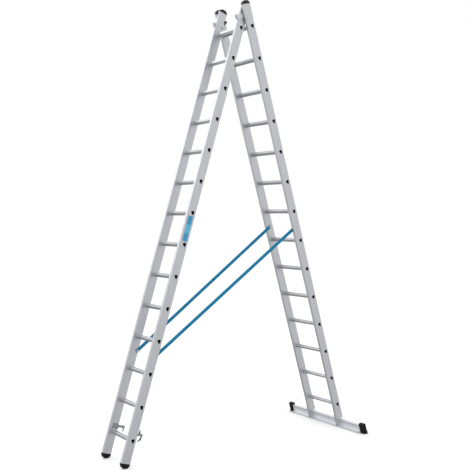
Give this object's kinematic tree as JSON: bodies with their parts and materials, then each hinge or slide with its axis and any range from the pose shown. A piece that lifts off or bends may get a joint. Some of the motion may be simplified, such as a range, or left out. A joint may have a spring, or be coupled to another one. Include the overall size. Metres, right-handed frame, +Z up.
{
  "type": "multi position ladder",
  "caption": "Two-section aluminium ladder standing as an A-frame, with nesting stiles, a top hinge, restraint straps and a wide floor stabiliser.",
  "frame": {"origin": "on the floor, under the middle of the ladder's outline in X and Y", "axes": "+Z up; +Y along the rungs; the inner section's feet stand on the -X side and the stabiliser on the +X side"},
  "size_m": [2.4188, 1.112, 3.9303],
  "materials": {
    "aluminium": "mill-finish extrusion, satin",
    "collar_aluminium": "formed edge, satin",
    "zinc_steel": "bright zinc plate",
    "dark_steel": "dull grey steel",
    "black_plastic": "fine moulded grain",
    "black_rubber": "matt moulded",
    "blue_webbing": "woven webbing",
    "blue_label": "blank printed film"
  },
  "bodies": {
    "outer_section": {"outer_stile_near": "aluminium", "outer_stile_far": "aluminium", "outer_rungs": "aluminium", "outer_rung_collars": "collar_aluminium", "outer_rung_plugs": "black_plastic", "outer_top_caps": "black_plastic", "guide_bracket_near": "aluminium", "guide_bracket_far": "aluminium", "guide_rivets": "zinc_steel", "hinge_bolts": "zinc_steel", "hinge_nuts": "zinc_steel", "strap_near": "blue_webbing", "strap_far": "blue_webbing", "strap_bolts_outer": "zinc_steel", "strap_nuts_outer": "zinc_steel", "stabiliser_beam": "aluminium", "stabiliser_bracket_near": "aluminium", "stabiliser_bracket_far": "aluminium", "stabiliser_bolts": "zinc_steel", "stabiliser_nuts": "zinc_steel", "bracket_rivets": "zinc_steel", "stabiliser_shoe_near": "black_rubber", "stabiliser_shoe_far": "black_rubber"},
    "inner_section": {"inner_stile_near": "aluminium", "inner_stile_far": "aluminium", "inner_rungs": "aluminium", "inner_rung_collars": "collar_aluminium", "inner_rung_plugs": "black_plastic", "inner_top_caps": "black_plastic", "inner_feet": "black_rubber", "hinge_bushes": "black_plastic", "glide_blocks": "black_plastic", "glide_rivets": "zinc_steel", "hook_near": "zinc_steel", "hook_far": "zinc_steel", "hook_rivets": "zinc_steel", "latch_pin": "zinc_steel", "strap_bolts_inner": "zinc_steel", "strap_nuts_inner": "zinc_steel", "label_plate": "blue_label"},
    "latch": {"hook_latch": "dark_steel"}
  },
  "joints": [
    {"name": "section_hinge", "type": "hinge", "parent": "outer_section", "child": "inner_section", "pos_m": [0.03066, 0, 3.76365], "axis": [0, -1, 0], "range_deg": [0, 32.5], "deforming": ["strap_near", "strap_far"]},
    {"name": "latch_hinge", "type": "hinge", "parent": "inner_section", "child": "latch", "pos_m": [-1.01576, -0.157, 0.25398], "axis": [0, -1, 0], "range_deg": [0, 30]}
  ]
}
